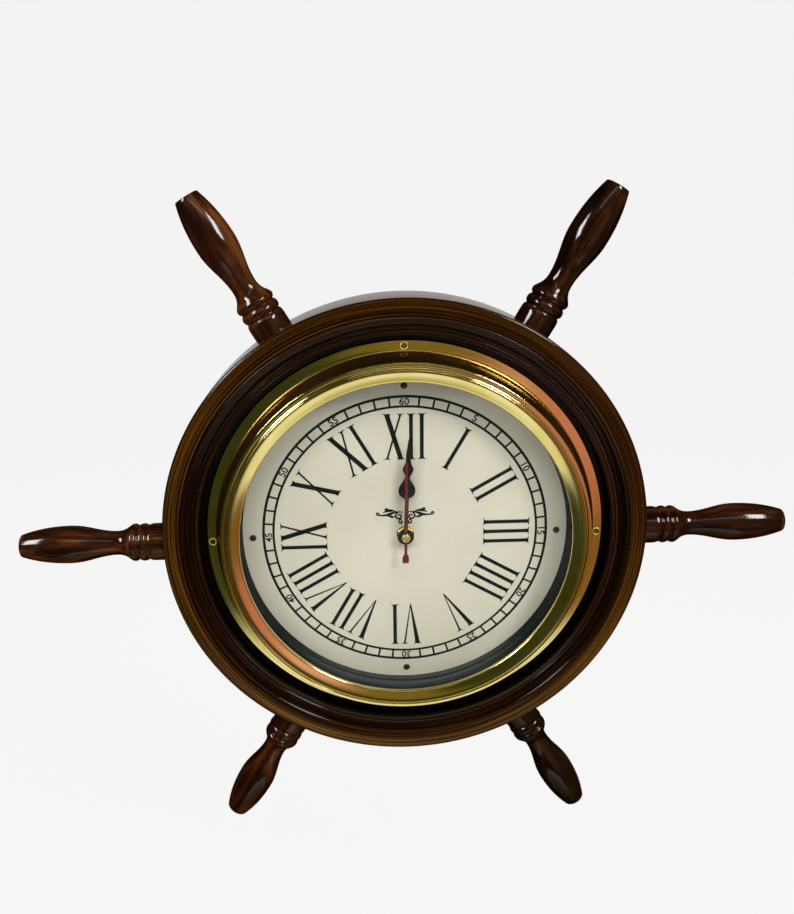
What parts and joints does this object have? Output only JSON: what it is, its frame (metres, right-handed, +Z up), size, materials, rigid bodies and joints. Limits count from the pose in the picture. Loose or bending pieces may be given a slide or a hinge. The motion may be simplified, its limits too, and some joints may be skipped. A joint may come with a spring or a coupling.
{
  "type": "ship wheel wall clock",
  "caption": "Wall clock shaped as a ship's steering wheel: turned wooden rim with spoke handles, brass porthole bezel with glass, cream dial, hands and a quartz movement.",
  "frame": {"origin": "on the wheel's axis, in the plane of the rim's flat back, which is the wall", "axes": "+X to the right as seen from the front, +Y from the dial into the wall, +Z up"},
  "size_m": [0.4578, 0.0397, 0.4028],
  "materials": {
    "lacquered_wood": "dark walnut stain under gloss lacquer",
    "brass": "polished and lacquered",
    "glass": "clear flat glass",
    "slate": "dark grey, faint turned lines",
    "dial_face": "cream, printed in black",
    "black_hands": "black satin",
    "red_hand": "dark red satin",
    "dark_screws": "dark oxide",
    "steel": "bright zinc",
    "black_casing": "fine grained",
    "nylon": "moulded, milky",
    "rubber": "matt",
    "copper_winding": "enamelled wire",
    "circuit_board": "solder mask",
    "magnet": "dull grey",
    "cell_sleeve": "plain sleeve"
  },
  "bodies": {
    "clock": {"wheel_rim": "lacquered_wood", "handle_right": "lacquered_wood", "handle_upper_right": "lacquered_wood", "handle_upper_left": "lacquered_wood", "handle_left": "lacquered_wood", "handle_lower_left": "lacquered_wood", "handle_lower_right": "lacquered_wood", "flange_ring": "brass", "flange_screw_top": "brass", "flange_screw_right": "brass", "flange_screw_bottom": "brass", "flange_screw_left": "brass", "bezel_ring": "brass", "glass": "glass", "spacer_tube": "slate", "dial_plate": "dial_face", "dial_screw_top": "dark_screws", "dial_screw_right": "dark_screws", "dial_screw_bottom": "dark_screws", "dial_screw_left": "dark_screws", "mounting_nut": "brass", "mounting_washer": "brass", "rubber_washer": "rubber", "case_front": "black_casing", "case_back": "black_casing", "train_plate": "black_casing", "stator": "steel", "coil_core": "steel", "coil": "copper_winding", "circuit_board": "circuit_board", "quartz_crystal": "steel", "battery": "cell_sleeve", "contact_plus": "steel", "contact_minus": "steel", "hanger_plate": "steel", "hanger_screw_left": "steel", "hanger_screw_right": "steel"},
    "second": {"second_hand": "red_hand", "second_hand_bush": "brass", "seconds_wheel": "nylon"},
    "minute": {"minute_hand": "black_hands", "cannon_pinion": "brass"},
    "hour": {"hour_hand": "black_hands", "hour_wheel": "nylon"},
    "centre": {"centre_wheel": "nylon"},
    "third": {"third_wheel": "nylon"},
    "fifth": {"fifth_wheel": "nylon"},
    "rotor": {"rotor": "magnet"},
    "minute_wheel": {"minute_wheel": "nylon"},
    "setting_knob": {"setting_knob": "nylon"}
  },
  "joints": [
    {"name": "seconds_arbor", "type": "hinge", "parent": "clock", "child": "second", "pos_m": [0, -0.012, 0], "axis": [0, 1, 0], "continuous": true},
    {"name": "minute_hand_arbor", "type": "hinge", "parent": "clock", "child": "minute", "pos_m": [0, -0.016, 0], "axis": [0, 1, 0], "continuous": true},
    {"name": "hour_pipe", "type": "hinge", "parent": "clock", "child": "hour", "pos_m": [0, -0.018, 0], "axis": [0, 1, 0], "continuous": true},
    {"name": "centre_wheel_arbor", "type": "hinge", "parent": "clock", "child": "centre", "pos_m": [0, -0.012, 0], "axis": [0, 1, 0], "continuous": true},
    {"name": "third_arbor", "type": "hinge", "parent": "clock", "child": "third", "pos_m": [-0.00935, -0.009, 0.0054], "axis": [0, 1, 0], "continuous": true},
    {"name": "fifth_arbor", "type": "hinge", "parent": "clock", "child": "fifth", "pos_m": [0.0076, -0.008, -0.00277], "axis": [0, 1, 0], "continuous": true},
    {"name": "rotor_arbor", "type": "hinge", "parent": "clock", "child": "rotor", "pos_m": [0.0138, -0.008, -0.00386], "axis": [0, 1, 0], "continuous": true},
    {"name": "minute_wheel_stud", "type": "hinge", "parent": "clock", "child": "minute_wheel", "pos_m": [0.00636, -0.014, 0.00636], "axis": [0, 1, 0], "continuous": true},
    {"name": "knob_arbor", "type": "hinge", "parent": "clock", "child": "setting_knob", "pos_m": [0.00816, -0.01, 0.01656], "axis": [0, 1, 0], "continuous": true}
  ],
  "couplings": [
    {"joint": "third_arbor", "follows": "seconds_arbor", "ratio": -0.13333},
    {"joint": "centre_wheel_arbor", "follows": "seconds_arbor", "ratio": 0.016667},
    {"joint": "fifth_arbor", "follows": "seconds_arbor", "ratio": -5},
    {"joint": "rotor_arbor", "follows": "seconds_arbor", "ratio": 30},
    {"joint": "minute_wheel_stud", "follows": "minute_hand_arbor", "ratio": -0.33333},
    {"joint": "hour_pipe", "follows": "minute_hand_arbor", "ratio": 0.083333},
    {"joint": "knob_arbor", "follows": "minute_hand_arbor", "ratio": 0.625}
  ]
}
